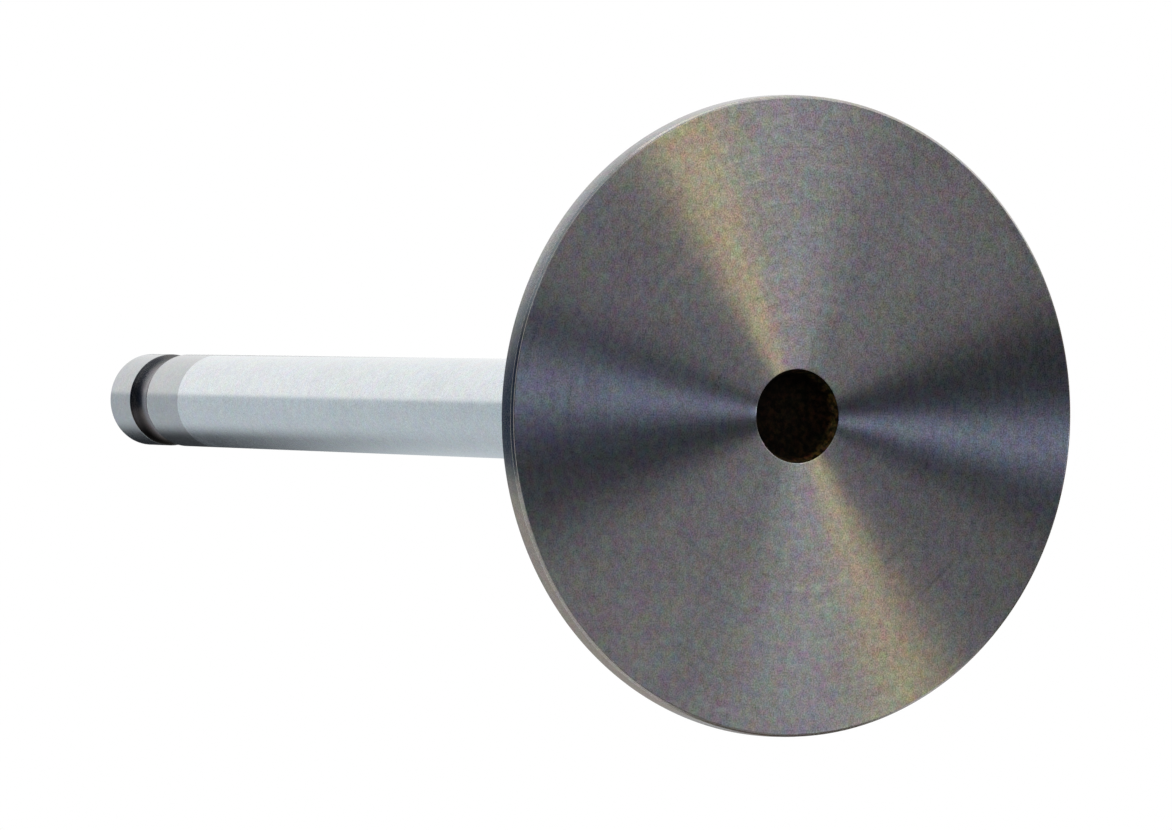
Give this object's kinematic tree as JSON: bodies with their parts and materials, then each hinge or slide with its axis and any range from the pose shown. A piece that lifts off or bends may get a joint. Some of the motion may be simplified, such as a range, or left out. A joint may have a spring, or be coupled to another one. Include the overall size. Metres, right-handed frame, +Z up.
{
  "type": "engine valve",
  "caption": "Poppet valve turned from steel: a thin round head with a flat face and angled seat, blending into a slim straight stem with a keeper groove near the tip.",
  "frame": {"origin": "centre of the flat combustion face, at the bottom of the part", "axes": "+Z up the stem from the head to the tip; the part is turned about Z, so X and Y are free"},
  "size_m": [0.052, 0.052, 0.1273],
  "materials": {
    "steel": "turned and ground steel; the combustion face shows fine circular turning marks, the stem is plated and brighter up to a short plain band below the groove"
  },
  "bodies": {
    "root": {"valve": "steel"}
  },
  "joints": []
}
